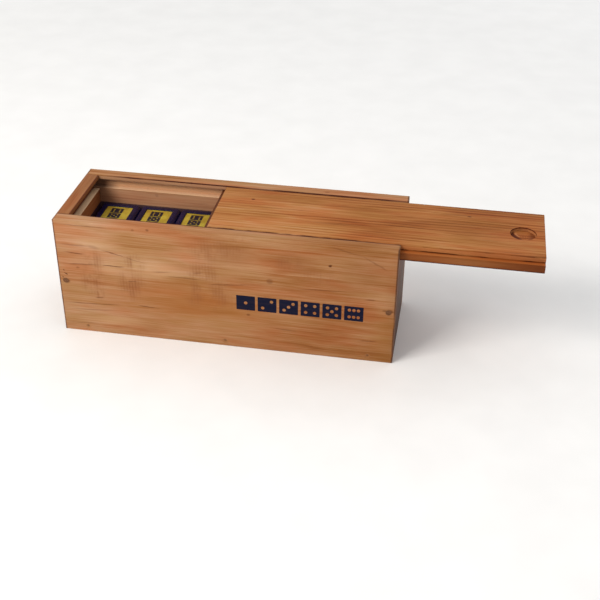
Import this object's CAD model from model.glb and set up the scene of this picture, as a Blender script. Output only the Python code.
# %% [markdown]
# # A wooden domino box with a sliding lid
#
# The box is five planed pine boards, nailed at the corners, with a lid that runs in two
# saw-cut grooves. It holds a double-six set of thick dominoes, each cast in three colours.
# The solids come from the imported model, so this lesson only dresses them: it eases the
# edges of the boards, moulds the dominoes with rounder edges, and gives every surface a
# material built from nodes. Lengths are in metres, and pattern sizes in millimetres.

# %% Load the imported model
import math
from functools import partial
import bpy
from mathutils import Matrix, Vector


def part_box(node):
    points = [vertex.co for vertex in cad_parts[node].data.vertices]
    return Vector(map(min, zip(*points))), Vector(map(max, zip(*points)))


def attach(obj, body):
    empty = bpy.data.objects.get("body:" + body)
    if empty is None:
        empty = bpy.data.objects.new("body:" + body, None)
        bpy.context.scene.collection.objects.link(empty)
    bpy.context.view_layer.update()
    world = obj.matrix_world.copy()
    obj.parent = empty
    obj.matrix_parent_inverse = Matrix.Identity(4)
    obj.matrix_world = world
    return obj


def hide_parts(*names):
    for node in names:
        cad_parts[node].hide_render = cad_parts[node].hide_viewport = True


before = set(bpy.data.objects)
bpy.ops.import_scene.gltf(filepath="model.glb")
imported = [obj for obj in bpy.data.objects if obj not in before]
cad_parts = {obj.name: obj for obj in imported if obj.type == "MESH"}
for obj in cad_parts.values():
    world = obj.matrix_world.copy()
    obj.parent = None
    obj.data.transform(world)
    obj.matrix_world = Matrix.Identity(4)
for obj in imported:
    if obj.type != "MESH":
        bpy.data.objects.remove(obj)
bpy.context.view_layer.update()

from types import SimpleNamespace

import bmesh
import bpy
from mathutils import Matrix, Vector

MM = 0.001

# %% [markdown]
# ## The camera
#
# A real camera has a place, a direction and a focal length, and the picture's perspective
# follows from them. The direction is given here as a yaw, a pitch and a roll, because those
# are what a tripod's head is set by. From them come the three axes of the camera: right,
# up, and back towards the eye.

# %% Camera
CAMERA_PLACE = Vector((0.1306, -0.5472, 0.3773))
CAMERA_YAW = math.radians(-9.36)
CAMERA_PITCH = math.radians(33.08)
CAMERA_ROLL = math.radians(0.64)
CAMERA_LENS, SENSOR = 63.2, 36  # millimetres


def camera_axes(yaw, pitch, roll):
    """The camera's right, up and back directions."""
    level_ahead = Vector((math.sin(yaw), math.cos(yaw), 0))
    ahead = math.cos(pitch) * level_ahead - math.sin(pitch) * Vector((0, 0, 1))
    level = Vector((math.cos(yaw), -math.sin(yaw), 0))
    upright = level.cross(ahead)
    right = math.cos(roll) * level + math.sin(roll) * upright
    up = math.cos(roll) * upright - math.sin(roll) * level
    return right, up, -ahead


def placed(name, data):
    """A new object in the scene."""
    made = bpy.data.objects.new(name, data)
    bpy.context.scene.collection.objects.link(made)
    return made


camera = placed("camera", bpy.data.cameras.new("camera"))
camera.data.sensor_width = SENSOR
camera.data.lens = CAMERA_LENS
axes = Matrix(camera_axes(CAMERA_YAW, CAMERA_PITCH, CAMERA_ROLL)).transposed()
camera.matrix_world = Matrix.Translation(CAMERA_PLACE) @ axes.to_4x4()
bpy.context.scene.camera = camera
print("camera looks along", (-axes.col[2]).to_tuple(3))

# %% [markdown]
# ## Colours and nodes
#
# Colours are written as they would be picked from a paint card, in sRGB hex, and shaders
# need linear light, so one function converts them. Materials are trees of nodes, and one
# small helper adds a node. A node that can do several kinds of arithmetic is told which one
# first. Then come its inputs, numbers or other nodes, in the order in which the node shows
# them, or by their labels. Other settings come by name.

# %% Helpers for colours and nodes


def linear(code):
    """The linear colour of an sRGB hex code such as #c99a68."""
    parts = [int(code[i : i + 2], 16) / 255 for i in (1, 3, 5)]
    return (*[c / 12.92 if c <= 0.04045 else ((c + 0.055) / 1.055) ** 2.4 for c in parts], 1.0)


def fill(tree, pairs):
    """Gives each socket its value, or a link from a node or from one of its outputs."""
    for socket, value in pairs:
        if isinstance(value, bpy.types.Node):
            value = next(out for out in value.outputs if out.enabled)
        if isinstance(value, bpy.types.NodeSocket):
            tree.links.new(value, socket)
        elif value is not None:
            socket.default_value = value


def add(tree, kind, *values, named=None, stops=(), **settings):
    """Adds a node with its operation, inputs' values or links, colour stops and settings."""
    node = tree.nodes.new(kind if "Node" in kind else "ShaderNode" + kind)
    if values and isinstance(values[0], str):
        node.operation, *values = values
    for name, value in settings.items():
        setattr(node, name, value)
    shown = [socket for socket in node.inputs if socket.enabled]
    fill(tree, zip(shown, values))
    fill(tree, [(node.inputs[label], value) for label, value in (named or {}).items()])
    if stops:
        while len(node.color_ramp.elements) < len(stops):
            node.color_ramp.elements.new(1.0)
        for element, (place, colour) in zip(node.color_ramp.elements, stops):
            element.position, element.color = place, linear(colour)
    return node


def new_material(name):
    """A material, its shader, a way to add nodes to it, and the spot in millimetres."""
    material = bpy.data.materials.new(name)
    material.use_nodes = True
    material.node_tree.nodes.clear()
    node = partial(add, material.node_tree)
    shader = node("BsdfPrincipled")
    node("OutputMaterial", shader)
    place = node("TexCoord").outputs["Object"]
    spot = node("VectorMath", "MULTIPLY", place, (1 / MM,) * 3)
    return SimpleNamespace(material=material, shader=shader, node=node, spot=spot)


def finished(made, sockets):
    """The material, once its shader has these values and links."""
    fill(made.material.node_tree, [(made.shader.inputs[label], value) for label, value in sockets.items()])
    return made.material


print("navy ink in linear light:", [round(c, 3) for c in linear("#14204f")[:3]])

# %% [markdown]
# ## The print: a row of pip blocks
#
# The front of such a box and the back of each domino carry a row of bold navy shapes. Here
# they are six blocks with one to six bare pips, which anyone who plays dominoes reads at a
# glance. The drawing is arithmetic on two coordinates, so it stays sharp at any size: one
# unit along the row is one block. Folding the coordinates about the block's centre lets one
# circle stand for four corner pips.

# %% A node group that draws the pip blocks
BLOCKS = 6
PIP_R = 0.078  # of the distance from one block to the next
PIP_STEP = 0.47  # of half the block, from its centre to a corner pip
BLOCK_ROUNDED = 0.06


def pip_block_group():
    """From a place (along, across) in blocks, and half a block's sides, 1 where there is ink."""
    tree = bpy.data.node_groups.new("pip_blocks", "ShaderNodeTree")
    for label, kind in (("Place", "Vector"), ("Half Length", "Float"), ("Half Width", "Float")):
        tree.interface.new_socket(label, in_out="INPUT", socket_type="NodeSocket" + kind)
    tree.interface.new_socket("Ink", in_out="OUTPUT", socket_type="NodeSocketFloat")
    given = add(tree, "NodeGroupInput").outputs
    node = partial(add, tree)
    along, across, _ = node("SeparateXYZ", given["Place"]).outputs
    number = node("Math", "ADD", node("Math", "FLOOR", along), 1.0)
    a = node("Math", "SUBTRACT", node("Math", "FRACT", along), 0.5)
    fold_a = node("Math", "ABSOLUTE", a)
    fold_b = node("Math", "ABSOLUTE", across)

    def pip(x, y, shown):
        """1 inside a pip centred where x and y are 0, on the blocks that show it."""
        far = node("VectorMath", "LENGTH", node("CombineXYZ", x, y))
        inside = node("Math", "LESS_THAN", far, PIP_R)
        return node("Math", "MULTIPLY", inside, shown)

    side_a = node("Math", "MULTIPLY_ADD", given["Half Length"], -PIP_STEP, fold_a)
    side_b = node("Math", "MULTIPLY_ADD", given["Half Width"], -PIP_STEP, fold_b)
    # a two or a three has pips only in the corners of the rising diagonal
    slope = node("Math", "GREATER_THAN", node("Math", "MULTIPLY", a, across), 0.0)
    worth = node("Math", "MULTIPLY_ADD", slope, 2.0, number)
    odd = node("Math", "MODULO", number, 2.0)
    pips = 0.0
    for x, y, value, least in (
        (side_a, side_b, worth, 3.5), (a, side_b, number, 5.5), (a, across, odd, 0.5),
    ):
        shown = node("Math", "GREATER_THAN", value, least)
        pips = node("Math", "MAXIMUM", pips, pip(x, y, shown))
    beyond_a = node("Math", "SUBTRACT", fold_a, given["Half Length"])
    beyond_b = node("Math", "SUBTRACT", fold_b, given["Half Width"])
    beyond = node("Math", "SMOOTH_MAX", beyond_a, beyond_b, BLOCK_ROUNDED)
    block = node("Math", "LESS_THAN", beyond, 0.0)
    middle = node("Math", "SUBTRACT", along, BLOCKS / 2)
    inside = node("Math", "LESS_THAN", node("Math", "ABSOLUTE", middle), BLOCKS / 2)
    bare = node("Math", "SUBTRACT", block, pips)
    ink = node("Math", "MULTIPLY", bare, inside, use_clamp=True)
    add(tree, "NodeGroupOutput", ink)
    return tree


pip_blocks = pip_block_group()
print("pip block group:", len(pip_blocks.nodes), "nodes")

# %% [markdown]
# ## Pine
#
# The boards are plantation pine, planed and given one thin coat of clear lacquer. A growth
# ring is a cylinder round the tree's heart, so the wood is drawn as a solid pattern: the
# distance from a far-off pith line gives the rings, noise bends them, and the board's own
# faces cut through it. That way an end shows end grain and a face shows long stripes, with
# no seam at the edges. Early wood is pale tan, late wood is orange-brown, and the fibres
# add fine streaks about half a millimetre wide.

# %% A solid pine pattern
# how long and how wide the grain's features are, in millimetres
BEND, YEAR, CAST = (130, 30), (85, 5), (42, 10)
FIBRE, STREAK, PATCH = (26, 0.65), (48, 2.4), (64, 15)
LATE_WOOD = 3.5  # how sharply a year darkens towards its end
MID_TONE = 0.36
LACQUER = {"IOR": 1.5, "Specular IOR Level": 0.14}


def pine(name, tones, pith, ring_mm, wander, seed,
         ringed=0.3, patchy=0.9, fibrous=0.7, redder=(0.0, 0.0), across=False):
    """Pine, with tones from pale to dark, and the grain along X, or across.

    pith is the heart's place in millimetres, ring_mm a year's growth, and wander how far
    the rings stray. redder moves the tone at the board's two ends. Besides the material it
    gives its colour so far, its noise, and the spot's coordinates by name.
    """
    wood = new_material(name)
    node = wood.node
    board = node("Mapping", wood.spot, None, (0, 0, math.radians(90 if across else 0)))

    def noise(long, wide, detail, rough=0.5):
        """Noise with features that many millimetres long and wide."""
        start, size = (seed, 2 * seed, 3 * seed), (1 / long, 1 / wide, 1 / wide)
        stretched = node("Mapping", board, start, None, size)
        return node("TexNoise", stretched, 1.0, detail, rough)

    bend = node("VectorMath", "SUBTRACT", noise(*BEND, 2.0).outputs["Color"], (0.5,) * 3)
    bent = node("VectorMath", "MULTIPLY_ADD", bend, (0, wander, wander), board)
    aside = node("VectorMath", "SUBTRACT", bent, pith)
    flat = node("VectorMath", "MULTIPLY", aside, (0, 1, 1))
    years = node("Math", "DIVIDE", node("VectorMath", "LENGTH", flat), ring_mm)
    late = node("Math", "POWER", node("Math", "FRACT", years), LATE_WOOD)
    fibre, streak, patch = [
        node("Math", "SUBTRACT", noise(*size, detail, rough), 0.5)
        for size, detail, rough in ((FIBRE, 3.0, 0.6), (STREAK, 2.0, 0.6), (PATCH, 2.0, 0.5))
    ]
    # some years grew darker late wood than others, and a ring fades along its length
    year = node("MapRange", noise(*YEAR, 1.0), 0.38, 0.62, 0.15 * ringed, 1.5 * ringed)
    rings = node("Math", "MULTIPLY", late, year)
    threads = node("Math", "MULTIPLY_ADD", streak, 0.4, fibre)
    grain = node("Math", "MULTIPLY_ADD", threads, fibrous, rings)
    tone = node("Math", "MULTIPLY_ADD", patch, patchy, grain)
    x, y, z = node("SeparateXYZ", wood.spot).outputs
    drift = node("MapRange", x, -80, 80, MID_TONE + redder[0], MID_TONE + redder[1])
    toned = node("ValToRGB", node("Math", "ADD", tone, drift, use_clamp=True), stops=tones)
    # the lacquer soaks in unevenly, which leaves rosy and olive patches
    soaked = ((0.36, "#ffece2"), (0.5, "#ffffff"), (0.64, "#f6f8ea"))
    cast = node("ValToRGB", noise(*CAST, 3.0), stops=soaked)
    relief = node("Math", "MULTIPLY_ADD", late, 0.3, fibre)
    finished(wood, {
        "Roughness": node("Math", "MULTIPLY_ADD", fibre, 0.3, 0.55),
        "Normal": node("Bump", named={"Strength": 0.08, "Distance": 0.2 * MM, "Height": relief}),
        **LACQUER,
    })
    wood.colour = node("Mix", 1.0, toned, cast, data_type="RGBA", blend_type="MULTIPLY")
    wood.noise = noise
    wood.axes = {
        "x": x, "y": y, "z": z,
        "end": node("Math", "ABSOLUTE", x), "side": node("Math", "ABSOLUTE", y),
    }
    return wood


# %% [markdown]
# ## Marks on the wood
#
# Every board has a few marks that a pattern would never place: small knots, dark resin
# lines, filler stains round the nail holes, and the brown lines where a saw blade burnt the
# corner of a rebate. A mark is a soft ellipse on one face of the board, given by its centre,
# its half sizes, its tilt and its depth. What follows an edge is a soft block of space
# instead. Both are masks, from 0 to 1, and a stain mixes one tone over the wood by them.

# %% Soft marks and stains
WOOD_MARK = "#52230a"
SCORCHED = "#481c0c"
RAGGED = 1.2  # millimetres that a mark's rim wavers
SHARP = 0.02
FAR = 500
HALF_LENGTH = 102.5


def box_mm(node):
    """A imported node's lowest and highest corners, in millimetres."""
    return [[side / MM for side in corner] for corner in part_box(node)]


def ellipse(wood, x, second, wide, high, depth, tilt=0, flat="Y", soft=0.1, place=None):
    """As deep as asked inside an ellipse that lies square to the flat axis, and 0 outside."""
    node = wood.node
    upright = flat == "Y"
    middle = (x, 0, second) if upright else (x, second, 0)
    size = (1 / wide, 0, 1 / high) if upright else (1 / wide, 1 / high, 0)
    turn = (0, math.radians(tilt), 0) if upright else (0, 0, -math.radians(tilt))
    moved = node("VectorMath", "SUBTRACT", place or wood.spot, middle)
    sized = node("VectorMath", "MULTIPLY", node("Mapping", moved, None, turn), size)
    far = node("VectorMath", "LENGTH", sized)
    return node("MapRange", far, soft, 1.0, depth, 0.0, interpolation_type="SMOOTHSTEP")


def between(node, value, low, high, soft=SHARP):
    """1 where a value lies between low and high, fading to 0 over soft beyond them."""
    off = node("Math", "SUBTRACT", value, (low + high) / 2)
    edge = (high - low) / 2
    far = node("Math", "ABSOLUTE", off)
    return node("MapRange", far, edge, edge + soft, 1.0, 0.0, interpolation_type="SMOOTHSTEP")


def zone(wood, **sides):
    """1 inside a block of space, given by (low, high, softness) along some of the axes."""
    inside = None
    for axis, side in sides.items():
        band = between(wood.node, wood.axes[axis], *side)
        inside = wood.node("Math", "MULTIPLY", inside, band) if inside else band
    return inside


def stain(wood, tone, *places, **sides):
    """Mixes a tone over the wood, inside a block of space if its sides are given.

    A place is masks to multiply, and the strongest counts.
    """
    node, strongest = wood.node, None
    for amount, *masks in places:
        for mask in masks:
            amount = node("Math", "MULTIPLY", amount, mask)
        strongest = node("Math", "MAXIMUM", strongest, amount) if strongest else amount
    if sides:
        strongest = node("Math", "MULTIPLY", strongest, zone(wood, **sides))
    wood.colour = node("Mix", strongest, wood.colour, linear(tone), data_type="RGBA")


def mark(wood, marks, flat="Y", **sides):
    """Stains the wood with ragged marks: x, y or z, half width, half height, depth and tilt."""
    node = wood.node
    stray = node("VectorMath", "SUBTRACT", wood.noise(9, 1.6, 2.0).outputs["Color"], (0.5,) * 3)
    waver = (2 * RAGGED, RAGGED, RAGGED)
    place = node("VectorMath", "MULTIPLY_ADD", stray, waver, wood.spot)
    spots = [(ellipse(wood, *each, flat=flat, soft=0.4, place=place),) for each in marks]
    stain(wood, WOOD_MARK, *spots, **sides)


def scorch_arris(wood, wide):
    """The thin dark line that the groove saw left along the lip's inner arris."""
    (_, inner, _), (_, _, top) = box_mm("back_panel")
    broken = wood.node("MapRange", wood.noise(25, 8, 2.0), 0.36, 0.5, 0.65, 1.0)
    started = wood.node("MapRange", wood.axes["x"], -90, -78, 0.3, 1.0)
    stain(wood, SCORCHED, (broken, started),
          side=(inner - 0.1, inner + wide, 0.3), z=(top - 0.45, top, 0.3))


def wear_ends(wood):
    """Brown end grain with fine pores, and a dark line where hands left dirt along the arris."""
    node, end = wood.node, wood.axes["end"]
    line = node("MapRange", end, HALF_LENGTH - 1.1, HALF_LENGTH - 0.4, 0.0, 0.9)
    smeared = node("MapRange", wood.noise(3, 7, 2.0), 0.36, 0.52, 0.4, 1.0)
    dirty = node("Math", "MULTIPLY", line, smeared)
    pores = node("MapRange", wood.noise(0.7, 0.6, 3.0), 0.35, 0.6, 0.42, 0.68)
    sawn = node("MapRange", end, HALF_LENGTH - 0.2, HALF_LENGTH - 0.05)
    stain(wood, "#4a2c20", (node("Mix", sawn, dirty, pores, data_type="FLOAT"),))


print("tone of a mark in linear light:", [round(c, 3) for c in linear(WOOD_MARK)[:3]])

# %% [markdown]
# ## The front board
#
# The palest board faces the player. Its rings are cut nearly flat, so they wander in long
# waves. The planer's knives have left faint upright ripples where the feed stuttered. The
# print is ink, slightly thin where the grain is open.

# %% Front board material
PRINT_LOW, PRINT_HIGH = (7.6, 27.8), (83.9, 37.9)  # the print's corners, x and z
PRINT_GAP = 1.6  # between two blocks
PRINT_HALF = 0.44  # half a block, of the distance from one block to the next
PINE_PALE = ((0.0, "#bd9576"), (0.35, "#ac7b53"), (0.65, "#965d30"), (1.0, "#6c3915"))
FRONT_PATCHES = {
    # the lower middle of the board is a warmer orange
    "#9c5f27": [(-15, 28, 75, 24, 0.55)],
    # the lacquer lies thicker in three patches towards the top and along the right edge
    "#8a5631": [
        (4, 64, 22, 13, 0.3), (42, 64, 20, 10, 0.28), (84, 62, 24, 20, 0.26),
        (104, 40, 10, 60, 0.34),
    ],
    # it has worn thin in five, where the bare wood is creamy yellow
    "#c8a076": [
        (-42, 50, 24, 9, 0.4), (-70, 48, 14, 7, 0.35), (-68, 10, 28, 5, 0.4),
        (-78, 64, 20, 5, 0.3), (12, 57, 24, 6, 0.2),
    ],
    # one patch is orange, low on the left, and one yellow, low on the right
    "#a1602f": [(-72, 23, 30, 8, 0.4)],
    "#8f5a1c": [(100, 18, 16, 30, 0.42)],
}
RIPPLE_MM = 1.9
RIPPLED = [
    (-80, 52, 9, 12, 0.55), (-81, 37, 10, 13, 0.7), (-77.7, 29.5, 4, 7, 0.75),
    (-54, 53, 9, 10, 0.55), (-57, 37, 11, 14, 0.7), (-5, 67, 20, 12, 0.5),
    (-12, 50, 15, 12, 0.5), (-17, 36, 9, 15, 0.5), (-3, 35, 12, 16, 0.5),
    (10, 72, 9, 8, 0.5), (39, 63, 10, 7, 0.55), (57, 56, 16, 7, 0.3),
]
FRONT_MARKS = [
    # filler stains round the two corner nails, and the scratches over the left one
    (-97.9, 35.9, 2.9, 1.8, 0.85), (99.4, 36.9, 2.8, 1.7, 0.6), (96.4, 37.2, 2.4, 0.8, 0.5),
    (-98, 40.9, 1.6, 0.55, 0.9, -30), (-98.9, 43.4, 1, 0.4, 0.8, -50), (-100, 38.4, 0.9, 0.4, 0.7, -40),
    # knots and specks
    (63.5, 64.1, 1.2, 1.2, 0.9), (28, 49.6, 2.6, 2.2, 0.35, 15), (14.8, 24.5, 1.4, 1.1, 0.5),
    (-89.8, 46, 1.6, 1, 0.35), (-53.3, 75.6, 1.2, 0.9, 0.35), (-44.4, 76.4, 1.3, 1.1, 0.5),
    # a swirl of grain that passes a hidden knot
    (-90.4, 61.6, 12, 0.7, 0.3), (-79, 61.4, 5, 1.6, 0.24, -8),
    (-66.5, 58.2, 8.5, 0.5, 0.55, -15), (-53.5, 55, 8.5, 0.5, 0.3, -14),
    # resin lines along the grain
    (-84, 75.2, 20, 0.6, 0.4, -0.2), (-91, 56, 8.5, 0.5, 0.6, -0.5), (-88, 48.6, 16, 0.5, 0.5, 3.4),
    (-67.4, 49.4, 8.5, 0.55, 0.8, 0.7), (-37.6, 48.6, 9, 0.45, 0.4, 5.5), (-22.5, 46, 15, 0.6, 0.4, -0.4),
    (-15.2, 50.6, 4, 0.45, 0.4, 4), (0.3, 44, 12, 0.5, 0.5, 5), (-56.2, 39.9, 4.2, 0.4, 0.45, 5),
    (-78.1, 25.8, 3.2, 0.45, 0.55, 4.6), (-83, 20.9, 24, 0.55, 0.5, 2.7), (-46.9, 22.6, 9, 0.5, 0.55, -4),
    (-82.1, 16.5, 17, 0.6, 0.28, 3.1), (-90.7, 5.8, 12, 0.5, 0.3, 3.2), (10.8, 45.2, 16, 0.4, 0.4, 6.5),
    (59.2, 47, 19, 0.4, 0.5, 3.4), (87.4, 43.7, 4.4, 0.45, 0.65, 5), (87.3, 14.4, 6.6, 0.45, 0.5, 2.4),
    (37, 16.3, 10, 0.6, 0.35, -2.6), (72.2, 74.6, 13, 0.7, 0.28, -13.4), (89.8, 68.2, 11, 0.7, 0.3, -29),
]


def ripple(wood, patches):
    """Faint upright planer ripples inside soft patches of the front."""
    node = wood.node
    shape = {"Scale": math.pi / 10 / RIPPLE_MM, "Distortion": 2.4, "Detail": 2.0, "Detail Scale": 0.7}
    wave = node("TexWave", wood.spot, named=shape, wave_type="BANDS", bands_direction="X")
    crest = node("Math", "MULTIPLY_ADD", wave, 0.5, 0.5)
    uneven = node("MapRange", wood.noise(6, 9, 3.0), 0.38, 0.58)
    shade = node("Math", "MULTIPLY", crest, uneven)
    stain(wood, "#85502e", *[(shade, ellipse(wood, *patch, soft=0.2)) for patch in patches])


def front_board_material():
    wood = pine("planed_pine_front", PINE_PALE, (0, 60, -28), 3.6, 8, 3.7,
                ringed=0.12, patchy=0.85, fibrous=0.75, redder=(-0.05, 0.12))
    for tone, patches in FRONT_PATCHES.items():
        for patch in patches:
            stain(wood, tone, (ellipse(wood, *patch),))
    ripple(wood, RIPPLED)
    mark(wood, FRONT_MARKS)
    scorch_arris(wood, 0.7)
    wear_ends(wood)
    # one unit of the print's coordinates is one block
    node = wood.node
    step = (PRINT_HIGH[0] - PRINT_LOW[0] + PRINT_GAP) / BLOCKS
    middle = (PRINT_LOW[1] + PRINT_HIGH[1]) / 2
    start = ((PRINT_GAP / 2 - PRINT_LOW[0]) / step, 0, -middle / step)
    along, _, up = node("SeparateXYZ", node("Mapping", wood.spot, start, None, (1 / step,) * 3)).outputs
    half_height = (PRINT_HIGH[1] - PRINT_LOW[1]) / 2 / step
    drawn = node("Group", node("CombineXYZ", along, up), PRINT_HALF, half_height, node_tree=pip_blocks)
    thin = node("MapRange", wood.noise(12, 0.5, 2.0), 0.3, 0.5, 0.97, 1.0)
    stain(wood, "#040826", (drawn, thin), y=(-FAR, box_mm("front_panel")[0][1] + 0.2))
    return finished(wood, {"Base Color": wood.colour})


front_wood = front_board_material()
print(front_wood.name, len(front_wood.node_tree.nodes), "nodes")

# %% [markdown]
# ## The back board and the ends
#
# The back board shows its inner face through the opening: a pale lip, the lid's groove and
# the wall below. The saw that cut the groove scorched the lip's arris, which leaves a thin
# dark line along it. The end boards have their grain across the box. The closed end's own
# groove was cut against the grain, so its back is scorched dark red, while the ledge below
# it stayed raw and greyish. The dominoes have rubbed a dark line on both walls beside the
# top layer.

# %% Back board and end board materials
RUBBED_BLUE = "#110d2b"
LIP_Z, LEDGE_Z = 2.8, 9.0  # millimetres below the top edge: the lip's underside, the ledge
PINE_RED = ((0.0, "#a16f49"), (0.35, "#915e38"), (0.65, "#7b4928"), (1.0, "#5e3014"))
PINE_GREY = ((0.0, "#8e6e5d"), (0.35, "#7f5c4b"), (0.65, "#6d4a39"), (1.0, "#4e3325"))


def back_board_material():
    wood = pine("planed_pine_back", PINE_PALE, (0, 150, 110), 4.4, 8, 11.3,
                ringed=0.26, patchy=0.7, fibrous=0.85, redder=(0.06, -0.12))
    node, axes = wood.node, wood.axes
    (left, inner, _), (right, outer, top) = box_mm("back_panel")
    wall_t, groove_y = outer - inner, outer - 3
    mark(wood, [(-34.1, 26.9, 1.6, 0.6, 0.95), (52, 30, 2, 1, 0.4)], "Z", z=(top - 0.8, FAR))
    mark(wood, [
        (-56.7, 66.7, 1.6, 1.3, 0.35), (-30, 63.5, 9, 0.5, 0.25, 2), (-99, 36, 2.8, 1.9, 0.6),
        (98.5, 36, 2.8, 1.9, 0.6), (-20, 50, 30, 0.5, 0.4, 2), (40, 22, 24, 0.5, 0.4, -3),
    ])
    # the groove was cut after the boards were lacquered, so its wood is bare and paler
    stain(wood, "#e6b68c", (0.76,), y=(inner + 0.4, groove_y), z=(top - 8.2, top - 2.9, 0.05))
    # the top of the groove's back was planed last and is the palest
    stain(wood, "#f3ccb0", (0.9,), y=(inner + 2.8, inner + 4, 0.2), z=(top - 4.4, top - LIP_Z, 0.9))
    # the lip's inner face and the ledge are pale too
    stain(wood, "#d6a685", (0.42,), y=(inner, inner + 0.3, 0.1), z=(top - LIP_Z, top - 0.7, 0.2))
    stain(wood, "#e6bc96", (0.7,), y=(-FAR, groove_y), z=(top - 8.75, top - 8.35, 0.1))
    # below the ledge the wall has greyed a little
    wall_y = (-FAR, inner + 0.2)
    stain(wood, "#c9a189", (0.27,), y=wall_y, z=(-FAR, top - LEDGE_Z))
    # dust and glue have darkened the inner corner beside the closed end
    dusty = node("MapRange", axes["z"], top - LEDGE_Z, top - 8.4, 0.5, 1.0)
    corner = node("MapRange", axes["x"], -92.5, -81.5, 0.78, 0.0)
    stain(wood, "#4a2219", (dusty, corner), y=(-FAR, inner + 5), z=(-FAR, top - LIP_Z))
    between_ends = (left + wall_t, right - wall_t, 0.1)
    stain(wood, RUBBED_BLUE, (0.85,), x=between_ends, y=wall_y, z=(top - 24, top - 18.95, 0.5))
    scorch_arris(wood, 0.55)
    wear_ends(wood)
    return finished(wood, {"Base Color": wood.colour})


def end_pine(name, tones, seed):
    """Pine with its grain across the box, as both end boards have it."""
    return pine(name, tones, (0, -70, 20), 3.4, 6, seed, ringed=0.05, across=True)


def closed_end_material():
    wood = end_pine("planed_pine_closed_end", PINE_RED, 5.1)
    (outer, _, _), (inner, _, top) = box_mm("left_end_panel")
    in_shade = wood.node("MapRange", wood.axes["x"], inner - 0.3, inner - 0.1, 0.0, 0.35)
    stain(wood, "#8a4520", (in_shade,))
    stain(wood, RUBBED_BLUE, (0.85,), x=(inner - 0.2, FAR), z=(top - 24, top - 18.7, 0.6))
    # the joints with the side boards, then the raw ledge
    stain(wood, SCORCHED, (0.6,), side=(26.2, 27, 0.3))
    stain(wood, "#e0bb94", (0.95,), x=(outer + 3.8, inner + 1, 0.1), z=(top - 9.6, top - 9.3, 0.15))
    # the saw burnt the groove's back, and the upper arris less
    arris = zone(wood, x=(inner - 0.5, inner, 0.2), z=(top - 0.4, top, 0.3))
    groove_back = zone(wood, x=(outer + 3.2, outer + 4.2, 0.5), z=(top - 9.2, top - 2.6, 0.4))
    stain(wood, "#5e2413", (0.9, groove_back), (0.63, arris))
    return finished(wood, {"Base Color": wood.colour})


def open_end_material():
    wood = end_pine("planed_pine_open_end", PINE_GREY, 8.6)
    # dirt from shelves has darkened it towards its foot
    foot = wood.node("MapRange", wood.axes["z"], 66, 8, 0.1, 0.68)
    stain(wood, "#2c1a10", (foot,))
    return finished(wood, {"Base Color": wood.colour})


back_wood = back_board_material()
closed_end_wood, open_end_wood = closed_end_material(), open_end_material()
print(back_wood.name, closed_end_wood.name, open_end_wood.name)

# %% [markdown]
# ## The lid and the bottom board
#
# The lid is a warmer board, cut so that the rings stand upright in it, which gives straight
# stripes from end to end. Its rebates show brown saw lines in their corners. The round
# finger recess was bored with a flat-bottomed bit, so its floor has rings and a centre mark.

# %% Lid and bottom board materials
PINE_WARM = ((0.0, "#c39370"), (0.35, "#b07642"), (0.65, "#985927"), (1.0, "#6a340f"))
TONGUE_T = 4.8  # millimetres
RECESS_X, RECESS_R, BIT_RING = 171.2, 7.5, 1.3
TONGUE_SIDE, REBATE_SIDE = 29.0, 25.9  # from the middle to the tongue's edge and the rebate's corner
LID_MARKS = [
    (8.7, 12.8, 1.5, 1.1, 0.85), (139.7, 14.9, 1.8, 1, 0.8), (133, 15.5, 12, 0.7, 0.4, 2),
    (110, 3, 10, 0.7, 0.35), (150, -12, 14, 0.6, 0.3, 1), (60, -9, 30, 0.6, 0.3, -1),
    (30, 4, 26, 0.7, 0.25, 1), (95, -20, 30, 0.6, 0.3), (166, -23.6, 9, 0.5, 0.6, 2),
]


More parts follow.
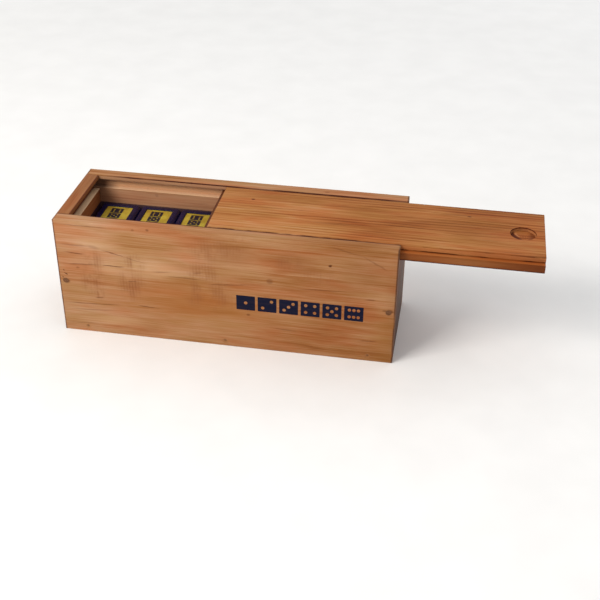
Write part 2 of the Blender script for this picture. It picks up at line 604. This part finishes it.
def stain_rebates(wood):
    """Saw lines in the rebates' corners, and tongues that are dark where they have rubbed."""
    node, noise = wood.node, wood.noise
    x, z, side = (wood.axes[name] for name in ("x", "z", "side"))
    (left, _, bottom), (_, _, top) = box_mm("lid")
    step = bottom + TONGUE_T
    edge, corner = TONGUE_SIDE, REBATE_SIDE
    # the rebate's upright cheek, and the tongue's top
    stain(wood, "#b57040", (0.6,), side=(corner - 0.2, corner + 0.1, 0.1), z=(step + 0.7, top - 0.7, 0.3))
    stain(wood, "#9f4f1b", (0.5,), side=(corner, edge - 0.3, 0.1), z=(step - 0.3, step + 0.2, 0.1))
    # the tongue's outer side has rubbed in the grooves and is dark, most of all underneath
    # and at the end that hands hold
    flank = node("MapRange", side, edge - 0.3, edge, 0.0, 0.55)
    low_side = node("MapRange", side, edge - 1, edge, 0.2, 1.0)
    low = node("MapRange", z, bottom + 1.1, bottom + 0.2, 0.0, 0.6)
    under = node("Math", "MULTIPLY", low, low_side)
    held_side = node("MapRange", side, edge - 0.5, edge - 0.1)
    held = node("Math", "MULTIPLY", node("MapRange", x, 150, 190, 0.0, 0.6), held_side)
    rubbed = node("Math", "MAXIMUM", flank, under)
    stain(wood, "#69320c", (node("Math", "ADD", rubbed, held, use_clamp=True),))
    # the saw burnt the rebates' corners, the upper arris and the end tongue unevenly
    in_corner = zone(wood, side=(corner - 0.3, corner, 0.3), z=(step - 0.2, step + 0.4, 0.3))
    uneven = node("MapRange", noise(16, 3, 2.0), 0.42, 0.56, 0.1, 0.95)
    on_top = (top - 0.5, top, 0.2)
    arris = zone(wood, side=(corner - 0.5, corner, 0.2), z=on_top)
    faint = node("MapRange", noise(11, 3, 2.0), 0.42, 0.56, 0.15, 1.0)
    # the arris is darkest where it has run in the box, towards the left
    run = node("MapRange", x, 50, 120, 0.85, 0.35)
    left_end = zone(wood, x=(left + 2.7, left + 3.0, 0.3), z=on_top)
    torn = node("MapRange", noise(2, 9, 2.0), 0.38, 0.55, 0.55, 1.0)
    below = zone(wood, z=(bottom, bottom + 0.55, 0.25))
    outermost = node("MapRange", side, edge - 0.6, edge - 0.1, 0.0, 0.95)
    stain(wood, SCORCHED, (in_corner, uneven), (arris, faint, run), (left_end, torn),
          (0.85, zone(wood, x=(-FAR, left + 2.9))), (below, outermost))


def stain_recess(wood):
    """What the bit left in the finger recess: rings, a centre mark, a burnt rim and its marks."""
    node, r, top = wood.node, RECESS_R, box_mm("lid")[1][2]
    aside = node("VectorMath", "SUBTRACT", wood.spot, (RECESS_X, 0, 0))
    level = node("VectorMath", "MULTIPLY", aside, (1, 1, 0))
    far = node("VectorMath", "LENGTH", level)
    near = node("Math", "LESS_THAN", far, r + 0.2)
    floor = zone(wood, z=(-FAR, top - 2.1))
    wave = node("Math", "SINE", node("Math", "MULTIPLY", far, 2 * math.pi / BIT_RING))
    rings = node("MapRange", wave, -0.2, 1.0, 0.0, 0.4)
    centre = node("MapRange", far, 0.4, 0.9, 0.4, 0.0)
    rim = node("MapRange", far, r - 0.3, r - 0.1)
    lip = zone(wood, z=(top - 0.65, top - 0.05, 0.15))
    # the bit was rocked a little: it burnt a crescent across the near left of the floor,
    # rubbed a rosy strip beside it, and left the right side browner
    rocked = node("VectorMath", "SUBTRACT", level, (0.3, 4.0, 0))
    reach = node("VectorMath", "LENGTH", rocked)
    nearer = node("VectorMath", "DOT_PRODUCT", rocked, (-0.86, -0.5, 0))
    leftward = node("Math", "MULTIPLY", node("MapRange", nearer, 3.6, 5.4), floor)
    crescent = node("MapRange", reach, r - 2.3, r - 1.7)
    rightward = node("MapRange", node("SeparateXYZ", rocked), 2.2, 4.6, 0.0, 0.6)
    places = [(rings,), (centre,), (0.95, rim, lip), (crescent, leftward), (rightward, floor)]
    stain(wood, "#57240c", *[(*masks, near) for masks in places], z=(-FAR, top - 0.08))
    # below its rim the wall was cut clean and is the palest wood on the lid
    wall = zone(wood, z=(top - 2.3, top - 0.9, 0.2))
    rosy = between(node, reach, r - 3.8, r - 2.8, 0.5)
    stain(wood, "#c98f62", (0.8, rosy, leftward, near), (0.32, rim, wall, near))


def lid_material():
    wood = pine("planed_pine_lid", PINE_WARM, (0, 150, 40), 2.9, 5, 21.4,
                ringed=0.3, patchy=0.75, fibrous=0.85, redder=(-0.2, 0.17))
    mark(wood, LID_MARKS, "Z", z=(box_mm("lid")[1][2] - 0.6, FAR))
    stain_rebates(wood)
    stain_recess(wood)
    return finished(wood, {"Base Color": wood.colour})


def bottom_board_material():
    wood = pine("planed_pine_bottom", PINE_PALE, (0, 20, 90), 4.4, 14, 31.9, ringed=0.2)
    return finished(wood, {"Base Color": wood.colour})


lid_wood, bottom_wood = lid_material(), bottom_board_material()
print(lid_wood.name, len(lid_wood.node_tree.nodes), "nodes")

# %% [markdown]
# ## Cast resin, foil, filler, steel and enamel
#
# A domino is three sheets of urea resin fused together, then tumbled until it shines: its
# colour goes right through, with a faint cloudiness and very fine scratches. The label is
# a printed foil with a slight grain. Filler dries matt and sinks a little. The centre pin
# is turned steel, with rings from the lathe. The nails are drawn wire.

# %% Small finishes
LABEL_HALF = 0.46  # half a block, of the distance from one block to the next
LABEL_ROW = 0.92  # of the label's length
NAIL_STEP, NAIL_Z = 87.5, 3.9  # millimetres, along the bottom edge


def resin(name, pale, deep, rough, coat=0.3, gloss=0.4):
    """Tumbled urea resin: cloudy to a few millimetres, with fine tumbling scratches."""
    made = new_material(name)
    node, spot = made.node, made.spot
    cloud = node("TexNoise", spot, 0.12, 2.0)
    brushed = node("Mapping", spot, None, (0, 0, 0.7), (0.4, 3, 2))
    scratch = node("TexNoise", brushed, 1.0, 2.0)
    return finished(made, {
        "Base Color": node("ValToRGB", node("MapRange", cloud, 0.3, 0.7), stops=((0.0, pale), (1.0, deep))),
        "Roughness": node("MapRange", scratch, 0.35, 0.65, rough, rough + 0.06),
        "Normal": node("Bump", named={"Strength": 0.01, "Distance": 0.05 * MM, "Height": cloud}),
        "IOR": 1.5, "Specular IOR Level": gloss, "Coat Weight": coat, "Coat Roughness": 0.08,
    })


def label_foil():
    """Yellow foil with the pip blocks along it, one label every column of dominoes."""
    made = new_material("printed_yellow_foil")
    node, spot = made.node, made.spot
    low, high = box_mm("domino_1_label")
    pitch = box_mm("domino_2_label")[0][0] - low[0]
    wide, long = high[0] - low[0], high[1] - low[1]
    x, y, _ = node("SeparateXYZ", spot).outputs
    # count columns from half a pitch before the first label's centre
    start = (low[0] + high[0] - pitch) / 2
    columns = node("Math", "DIVIDE", node("Math", "SUBTRACT", x, start), pitch)
    across = node("Math", "SUBTRACT", node("Math", "FRACT", columns), 0.5)
    step = long * LABEL_ROW / BLOCKS
    # the row lies a little towards the label's left edge, and reads away from the player
    aside = node("Math", "MULTIPLY_ADD", across, pitch / step, wide * 0.05 / step)
    row = node("Math", "MULTIPLY_ADD", y, 1 / step, BLOCKS / 2)
    place = node("CombineXYZ", row, aside)
    ink = node("Group", place, LABEL_HALF, wide * 0.235 / step, node_tree=pip_blocks)
    grain = node("TexNoise", spot, 1.4, 3.0)
    cloud = node("TexNoise", spot, 0.16, 1.0)
    tint = node("MapRange", node("Math", "MULTIPLY_ADD", grain, 0.5, cloud), 0.55, 0.95)
    foil = node("ValToRGB", tint, stops=((0.0, "#c0a93a"), (0.5, "#b3982e"), (1.0, "#a48426")))
    return finished(made, {
        "Base Color": node("Mix", ink, foil, linear("#0f0c22"), data_type="RGBA"),
        "Roughness": node("MapRange", grain, 0.3, 0.7, 0.36, 0.5),
        "Normal": node("Bump", named={"Strength": 0.03, "Distance": 0.05 * MM, "Height": grain}),
        "Metallic": 0.15,
    })


def wood_filler():
    """Gritty brown filler, dark in the corners' nail holes and paler along the bottom edge."""
    made = new_material("brown_wood_filler")
    node, spot = made.node, made.spot
    gritty = node("VectorMath", "MULTIPLY", spot, (0.6, 1.6, 2.2))
    grit = node("TexNoise", gritty, 1.0, 4.0, 0.6)
    brown = node("ValToRGB", grit, stops=((0.3, "#7c502c"), (0.5, "#683f1f"), (0.7, "#543014")))
    # the nails along the bottom edge were filled with a paler match, dark only at its centre
    x, _, z = node("SeparateXYZ", spot).outputs
    nearest = node("Math", "ROUND", node("Math", "DIVIDE", x, NAIL_STEP))
    off = node("Math", "MULTIPLY_ADD", nearest, -NAIL_STEP, x)
    above = node("Math", "SUBTRACT", z, NAIL_Z)
    reach = node("VectorMath", "LENGTH", node("CombineXYZ", off, above))
    ring = node("MapRange", reach, 0.6, 1.2, 0.35, 0.95)
    pale = node("Math", "MULTIPLY", node("MapRange", z, 8, 12, 1.0, 0.0), ring)
    along = node("MapRange", x, -90, 90)
    like_wood = node("Mix", along, linear("#ab784a"), linear("#99622f"), data_type="RGBA")
    return finished(made, {
        "Base Color": node("Mix", pale, brown, like_wood, data_type="RGBA"),
        "Roughness": node("MapRange", grit, 0.3, 0.7, 0.7, 0.9),
        "Normal": node("Bump", named={"Strength": 0.4, "Distance": 0.1 * MM, "Height": grit}),
    })


def steel(name, rings_mm, rough):
    """Bright steel with fine lathe or die marks that far apart along its height."""
    made = new_material(name)
    node = made.node
    turned = node("VectorMath", "MULTIPLY", made.spot, (0.3, 0.3, 1 / rings_mm))
    lines = node("TexNoise", turned, 1.0, 2.0)
    return finished(made, {
        "Base Color": node("ValToRGB", lines, stops=((0.3, "#d9dbdd"), (0.7, "#aeb1b5"))),
        "Roughness": node("MapRange", lines, 0.3, 0.7, rough, rough + 0.14),
        "Normal": node("Bump", named={"Strength": 0.06, "Distance": 0.02 * MM, "Height": lines}),
        "Metallic": 1.0,
    })


blue_resin = resin("tumbled_blue_resin", "#0e0d38", "#08082b", 0.22, coat=0.0, gloss=0.28)
amber_resin = resin("tumbled_amber_resin", "#eab23a", "#d9981f", 0.18)
ivory_resin = resin("tumbled_ivory_resin", "#f3f1ec", "#e6e2d8", 0.2)
black_enamel = resin("black_pip_enamel", "#1c1c20", "#101014", 0.14, coat=0.4)
yellow_foil, filler = label_foil(), wood_filler()
turned_steel, drawn_wire = steel("turned_pin_steel", 0.15, 0.16), steel("drawn_nail_wire", 0.5, 0.34)
print("materials so far:", len(bpy.data.materials))

# %% [markdown]
# ## Boards with eased edges
#
# No real board has a knife edge: the maker runs sandpaper along each arris. The packed
# boards are copied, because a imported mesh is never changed. The copy's loose triangles are
# merged, its flat faces are joined again, and every long outer edge is rounded over by
# about a third of a millimetre. Inner corners stay crisp, as a saw leaves them. Each copy
# then stands for its packed board.

# %% Ease the boards
EASED = 0.3 * MM
LONG_EDGE, LID_EDGE = 4 * MM, 0.2 * MM  # the shortest edges that are eased
SAME_PLACE = 1e-6
SQUARE = 0.9999  # a face whose normal has a larger part than this is square to an axis
FLAT, SHARP_TURN, ARRIS = math.radians(0.5), math.radians(50), math.radians(60)


def finish_piece(mesh, name, body, slot, material, *nodes):
    """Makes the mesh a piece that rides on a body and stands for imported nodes."""
    piece = placed(name, mesh)
    if material:
        mesh.materials.clear()
        mesh.materials.append(material)
    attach(piece, body)
    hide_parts(*nodes)


def is_arris(edge, shortest):
    """Whether an edge is a long outer one that a hand would sand."""
    outer = edge.is_manifold and edge.is_convex and edge.calc_length() > shortest
    return outer and edge.calc_face_angle() > ARRIS


def eased_board(name, node, body, slot, material, shortest=LONG_EDGE):
    """A copy of a packed board with its long outer edges rounded over."""
    mesh = bmesh.new()
    mesh.from_mesh(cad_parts[node].data)
    bmesh.ops.remove_doubles(mesh, verts=mesh.verts, dist=SAME_PLACE)
    bmesh.ops.dissolve_limit(mesh, angle_limit=FLAT, verts=mesh.verts, edges=mesh.edges)
    edges = [edge for edge in mesh.edges if is_arris(edge, shortest)]
    bmesh.ops.bevel(
        mesh, geom=edges, offset=EASED, segments=3, profile=0.5, affect="EDGES", clamp_overlap=True,
    )
    # the sawn flats stay flat, and only the rounded strips and the recess's wall are smooth
    mesh.normal_update()
    for face in mesh.faces:
        face.smooth = max(abs(part) for part in face.normal) < SQUARE
    bmesh.ops.triangulate(mesh, faces=[face for face in mesh.faces if len(face.verts) > 4])
    board = bpy.data.meshes.new(name)
    mesh.to_mesh(board)
    board.attributes.remove(board.attributes["custom_normal"])  # these came with the copy
    closed = all(edge.is_manifold for edge in mesh.edges)
    mesh.free()
    board.set_sharp_from_angle(angle=SHARP_TURN)
    print(f"{name}: {len(edges)} edges eased, {len(board.polygons)} faces, closed: {closed}")
    finish_piece(board, name, body, slot, material, node)


eased_board("front_board", "front_panel", "box", "pine_panel", front_wood)
eased_board("back_board", "back_panel", "box", "pine_panel", back_wood)
eased_board("closed_end_board", "left_end_panel", "box", "pine_panel", closed_end_wood)
eased_board("open_end_board", "right_end_panel", "box", "pine_panel", open_end_wood)
eased_board("bottom_board", "bottom_panel", "box", "pine_board", bottom_wood)
eased_board("sliding_lid", "lid", "lid", "pine_lid", lid_wood, shortest=LID_EDGE)

# %% [markdown]
# ## Moulding a domino
#
# A domino's back layer is a rounded slab with a bevel all round and a shallow pocket for
# the label. It is drawn as a stack of outlines, each a rounded rectangle with its own inset
# and height, joined by faces. Close pairs of outlines round the bevel's two edges, which
# catch the light as thin lines.

# %% Loft a back layer from stacked outlines
TILE_W, TILE_L = 25.4, 50.8  # millimetres
CORNER_STEPS = 7
# inset from the edge, corner radius and height above the domino's underside
BACK_PROFILE = [
    (0.0, 2.4, 7.5), (0.0, 2.4, 11.05), (0.04, 2.36, 11.25), (0.14, 2.26, 11.42), (0.3, 2.1, 11.6),
    (1.0, 1.4, 12.35), (1.18, 1.22, 12.55), (1.4, 1.05, 12.66), (1.65, 0.95, 12.7),
    (4.0, 0.9, 12.7), (4.16, 0.82, 12.66), (4.26, 0.74, 12.56), (4.3, 0.7, 12.4), (4.3, 0.7, 11.7),
]


def rounded_outline(inset, corner):
    """Points round a domino, inset from its edge, with the given corner radius."""
    half_w, half_l = TILE_W / 2 - inset - corner, TILE_L / 2 - inset - corner
    points = []
    for quarter, (sx, sy) in enumerate(((1, 1), (-1, 1), (-1, -1), (1, -1))):
        for step in range(CORNER_STEPS + 1):
            angle = math.pi / 2 * (quarter + step / CORNER_STEPS)
            points.append((sx * half_w + corner * math.cos(angle), sy * half_l + corner * math.sin(angle)))
    return points


def lofted(name, outlines):
    """A closed mesh through outlines of (points, height), in millimetres."""
    mesh = bmesh.new()
    rings = [[mesh.verts.new((x * MM, y * MM, z * MM)) for x, y in points] for points, z in outlines]
    for below, above in zip(rings, rings[1:]):
        for i in range(len(below)):
            j = (i + 1) % len(below)
            mesh.faces.new((below[i], below[j], above[j], above[i]))
    mesh.faces.new(rings[0][::-1])
    mesh.faces.new(rings[-1])
    bmesh.ops.recalc_face_normals(mesh, faces=mesh.faces)
    made = bpy.data.meshes.new(name)
    mesh.to_mesh(made)
    mesh.free()
    made.shade_smooth()
    made.set_sharp_from_angle(angle=SHARP_TURN)
    return made


back_outlines = [(rounded_outline(inset, corner), z) for inset, corner, z in BACK_PROFILE]
back_mould = lofted("domino_back_mould", back_outlines)
print("one back layer:", len(back_mould.polygons), "faces")

# %% [markdown]
# ## Rows of dominoes
#
# Seven dominoes lie side by side in a layer, a steady distance apart. That is work for
# Geometry Nodes: a line of points, the same moulded piece on every point, the instances
# made real, and a material. The tree has named inputs, so one tree lays a row of seven, the
# four under the lid, and each single domino that can be lifted out.

# %% Lay a row with Geometry Nodes
ROW_INPUTS = {
    "Piece": "Object", "Count": "Int", "Start": "Vector", "Step": "Vector", "Turn": "Vector",
    "Finish": "Material",
}


def row_tree():
    """A tree that lays a count of pieces in a line."""
    tree = bpy.data.node_groups.new("row_of_pieces", "GeometryNodeTree")
    for label, kind in ROW_INPUTS.items():
        tree.interface.new_socket(label, in_out="INPUT", socket_type="NodeSocket" + kind)
    tree.interface.new_socket("Geometry", in_out="OUTPUT", socket_type="NodeSocketGeometry")
    given = add(tree, "NodeGroupInput").outputs
    line = add(tree, "GeometryNodeMeshLine", given["Count"], given["Start"], given["Step"])
    piece = add(tree, "GeometryNodeObjectInfo", given["Piece"]).outputs["Geometry"]
    laid = {"Points": line, "Instance": piece, "Rotation": given["Turn"]}
    real = add(tree, "GeometryNodeRealizeInstances", add(tree, "GeometryNodeInstanceOnPoints", named=laid))
    dressed = add(tree, "GeometryNodeSetMaterial", named={"Geometry": real, "Material": given["Finish"]})
    add(tree, "NodeGroupOutput", dressed)
    return tree


rows = row_tree()


def laid_row(name, mould, count, start, step, finish, turn=(0, 0, 0)):
    """The mesh of a row of moulded pieces, from the evaluated Geometry Nodes."""
    original = placed(name + "_mould", mould)
    carrier = placed(name + "_row", bpy.data.meshes.new(name + "_row"))
    modifier = carrier.modifiers.new("row", "NODES")
    modifier.node_group = rows
    values = dict(zip(ROW_INPUTS, (original, count, start, step, turn, finish)))
    for item in rows.interface.items_tree:
        if item.in_out == "INPUT":
            modifier[item.identifier] = values[item.name]
    evaluated = carrier.evaluated_get(bpy.context.evaluated_depsgraph_get())
    mesh = bpy.data.meshes.new_from_object(evaluated)
    mesh.name = name
    for one in (carrier, original):
        bpy.data.objects.remove(one)
    return mesh


def lay_backs(name, node, body):
    """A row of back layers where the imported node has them."""
    low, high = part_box(node)
    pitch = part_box("domino_2_back")[0][0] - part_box("domino_1_back")[0][0]
    count = round((high[0] - low[0] - TILE_W * MM) / pitch) + 1
    start = (low[0] + TILE_W / 2 * MM, 0, low[2] - BACK_PROFILE[0][2] * MM)
    mesh = laid_row(name, back_mould, count, start, (pitch, 0, 0), blue_resin)
    finish_piece(mesh, name, body, "blue_resin", None, node)
    print(f"{name}: {count} laid, {len(mesh.polygons)} faces")


for number in (1, 2, 3):
    lay_backs(f"moulded_back_{number}", f"domino_{number}_back", f"domino_{number}")
for number in (1, 2, 3, 4):
    lay_backs(f"moulded_backs_layer_{number}", f"layer_{number}_backs", "box")

# %% [markdown]
# ## Filler over the nails
#
# The nails were punched below the surface and the holes filled. The filler shrinks as it
# dries, so each plug is a shallow dish. The same tree lays them: two in the corners of each
# side, and three along the bottom edge.

# %% Filler plugs
PLUG_PROFILE = [(1.8, 0.0), (1.8, 1.0), (1.72, 1.12), (1.5, 1.14), (1.1, 1.02), (0.5, 0.94)]  # radius, height
PLUG_R = PLUG_PROFILE[0][0] * MM
PLUG_SIDES = 24


def round_outline(radius):
    turns = [2 * math.pi * i / PLUG_SIDES for i in range(PLUG_SIDES)]
    return [(radius * math.cos(turn), radius * math.sin(turn)) for turn in turns]


plug_mould = lofted("filler_plug_mould", [(round_outline(radius), z) for radius, z in PLUG_PROFILE])
for side, sign in (("front", -1), ("back", 1)):
    low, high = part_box(side + "_plugs")
    inner_y = high[1] if sign < 0 else low[1]
    turn = (-sign * math.pi / 2, 0, 0)
    both = bmesh.new()
    for count, x, z, apart in (
        (2, low[0] + PLUG_R, high[2] - PLUG_R, high[0] - low[0] - 2 * PLUG_R),
        (3, -NAIL_STEP * MM, low[2] + PLUG_R, NAIL_STEP * MM),
    ):
        both.from_mesh(laid_row("plugs", plug_mould, count, (x, inner_y, z), (apart, 0, 0), filler, turn))
    plugs = bpy.data.meshes.new(side + "_filler")
    both.to_mesh(plugs)
    both.free()
    finish_piece(plugs, side + "_filler", "box", "wood_filler", filler, side + "_plugs")
    print(f"{side} filler:", len(plugs.polygons), "faces")

# %% [markdown]
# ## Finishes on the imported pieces
#
# The other pieces have the right shape already: labels, middle and face layers, pips, pins
# and nails. They keep their meshes and get their materials in their own slots.

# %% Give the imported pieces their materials
FINISHES = {
    "label": yellow_foil, "core": amber_resin, "face": ivory_resin,
    "marks": black_enamel, "pin": turned_steel, "nails": drawn_wire,
}
dressed = 0
for name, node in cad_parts.items():
    for word, finish in FINISHES.items():
        if word in name:
            for slot in node.material_slots:
                slot.material = finish
            dressed += 1
print("packed pieces dressed:", dressed)

# %% [markdown]
# ## Studio
#
# The box stands on a pale sweep of paper. A large soft lamp hangs above and to the left,
# as a window would, a weaker one fills from the right, and the room gives the rest. Large
# lamps make soft shadows, and a pale floor sends light back up into the wood. Behind the
# floor's far edge the room looks like more of the same paper.

# %% Floor, lamps and room
FLOOR_HALF = 20.0
GLOW_FROM, GLOW_TO, GLOW = 600, 2400, 0.33  # millimetres from the box, and strength
WHITE = (1, 1, 1, 1)
AIM_Z = 0.05


def studio_floor():
    mesh = bpy.data.meshes.new("studio_floor")
    h = FLOOR_HALF
    mesh.from_pydata([(-h, -h, 0), (h, -h, 0), (h, h, 0), (-h, h, 0)], [], [(0, 1, 2, 3)])
    floor = placed("studio_floor", mesh)
    paper = new_material("matt_white_paper")
    node = paper.node
    fleck = node("TexNoise", paper.spot, 0.03, 2.0)
    # far from the lamps the paper has a faint glow, which keeps it as pale as beside the box
    far = node("VectorMath", "LENGTH", paper.spot)
    mesh.materials.append(finished(paper, {
        "Base Color": node("ValToRGB", fleck, stops=((0.3, "#f7f7f6"), (0.7, "#f3f3f2"))),
        "Emission Strength": node("MapRange", far, GLOW_FROM, GLOW_TO, 0.0, GLOW),
        "Emission Color": WHITE, "Roughness": 0.9, "Specular IOR Level": 0.1,
    }))


def lamp(name, place, aim, size, power, colour):
    """A square area lamp that looks at a point."""
    data = bpy.data.lights.new(name, "AREA")
    data.shape, data.size, data.energy, data.color = "SQUARE", size, power, linear(colour)[:3]
    made = placed(name, data)
    made.location = place
    made.rotation_euler = (Vector(aim) - Vector(place)).to_track_quat("-Z", "Y").to_euler()


studio_floor()
lamp("window_lamp", (-0.78, -0.82, 1.02), (0.0, 0, AIM_Z), 0.7, 15, "#fffaf4")
lamp("fill_lamp", (1.0, 0.9, 0.9), (0.05, 0, AIM_Z), 1.0, 3, "#f4f7ff")


def room_light(ceiling, wall, paper):
    """A world that lights from overhead more than from the walls, and looks like pale paper."""
    room = bpy.data.worlds.new("pale_room")
    room.use_nodes = True
    room.node_tree.nodes.clear()
    node = partial(add, room.node_tree)
    height = node("SeparateXYZ", node("TexCoord").outputs["Generated"]).outputs[2]
    overhead = node("MapRange", height, 0.1, 0.9, wall, ceiling)
    seen = node("LightPath").outputs["Is Camera Ray"]
    strength = node("Mix", seen, overhead, paper, data_type="FLOAT")
    node("OutputWorld", node("Background", linear("#fafafa"), strength))
    bpy.context.scene.world = room


room_light(ceiling=0.88, wall=0.32, paper=0.98)
bpy.context.scene.view_settings.view_transform = "Standard"
